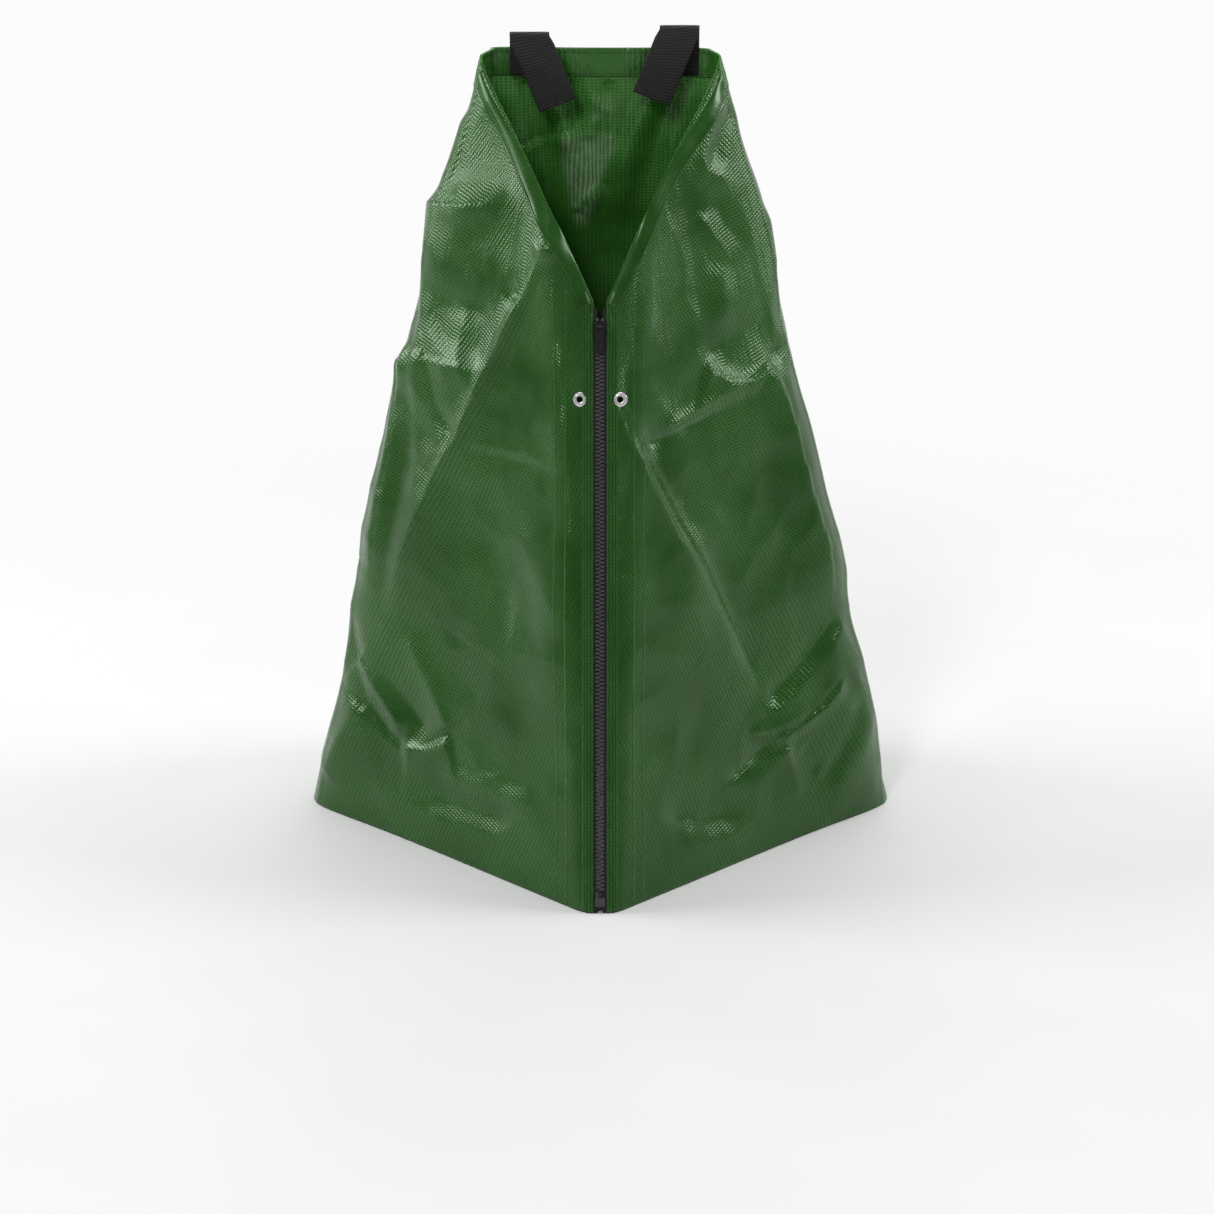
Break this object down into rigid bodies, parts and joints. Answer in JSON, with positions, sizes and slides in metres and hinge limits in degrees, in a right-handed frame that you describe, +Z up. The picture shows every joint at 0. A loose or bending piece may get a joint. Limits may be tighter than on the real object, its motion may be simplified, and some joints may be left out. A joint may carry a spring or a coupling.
{
  "type": "tree watering bag",
  "caption": "Upright zip-up slow-release watering bag of green film, with hinged front flaps under a V neck, a hemmed back and folded webbing straps.",
  "frame": {"origin": "the trunk's axis at the ground, midway between the two side folds", "axes": "+Z up, -Y towards the zipped front, +X to the right of someone who faces the zipper"},
  "size_m": [0.5964, 0.49, 0.8155],
  "materials": {
    "green_film": "glossy dark green scrim-reinforced film",
    "zipper_tape": "black woven zipper tape",
    "zipper_plastic": "black moulded zipper teeth",
    "slider_metal": "black enamelled zinc",
    "eyelet_metal": "bright plated eyelets",
    "webbing": "black ribbed polypropylene webbing"
  },
  "bodies": {
    "bag_back": {"outer_back": "green_film", "inner_back": "green_film", "base_hem_back": "green_film", "top_hem": "green_film", "strap_leg_left": "webbing", "strap_leg_right": "webbing"},
    "left_flap": {"outer_left": "green_film", "inner_left": "green_film", "base_hem_left": "green_film", "neck_binding_left": "green_film", "zip_facing_left": "green_film", "zipper_tape_left": "zipper_tape", "zipper_teeth_left": "zipper_plastic", "top_stop_left": "zipper_plastic", "eyelet_left": "eyelet_metal", "eyelet_washer_left": "eyelet_metal", "insertion_pin": "zipper_plastic"},
    "right_flap": {"outer_right": "green_film", "inner_right": "green_film", "base_hem_right": "green_film", "neck_binding_right": "green_film", "zip_facing_right": "green_film", "zipper_tape_right": "zipper_tape", "zipper_teeth_right": "zipper_plastic", "top_stop_right": "zipper_plastic", "eyelet_right": "eyelet_metal", "eyelet_washer_right": "eyelet_metal", "retainer_box": "zipper_plastic"},
    "slider": {"slider_body": "slider_metal"},
    "pull_tab": {"pull_tab": "slider_metal"},
    "left_strap": {"strap_tail_left": "webbing"},
    "right_strap": {"strap_tail_right": "webbing"}
  },
  "joints": [
    {"name": "right_flap_fold", "type": "hinge", "parent": "bag_back", "child": "right_flap", "pos_m": [0.298, 0, 0], "axis": [-0.2219, 0.0518, 0.9737], "range_deg": [0, 80]},
    {"name": "left_flap_fold", "type": "hinge", "parent": "bag_back", "child": "left_flap", "pos_m": [-0.298, 0, 0], "axis": [-0.2219, -0.0518, -0.9737], "range_deg": [0, 80]},
    {"name": "slider_slide", "type": "slide", "parent": "right_flap", "child": "slider", "axis": [0, -0.3152, -0.949], "range_m": [0, 0.554]},
    {"name": "pull_tab_swing", "type": "hinge", "parent": "slider", "child": "pull_tab", "pos_m": [0, -0.10589, 0.55195], "axis": [-1, 0, 0], "range_deg": [0, 150]},
    {"name": "left_strap_swing", "type": "hinge", "parent": "bag_back", "child": "left_strap", "pos_m": [-0.071, 0.06642, 0.80526], "axis": [-1, 0, 0], "range_deg": [0, 150]},
    {"name": "right_strap_swing", "type": "hinge", "parent": "bag_back", "child": "right_strap", "pos_m": [0.08, 0.06532, 0.81226], "axis": [-1, 0, 0], "range_deg": [0, 150]}
  ],
  "couplings": [
    {"joint": "left_flap_fold", "follows": "right_flap_fold", "ratio": 1},
    {"joint": "slider_slide", "follows": "right_flap_fold", "m_per_rad": 0.39677}
  ]
}
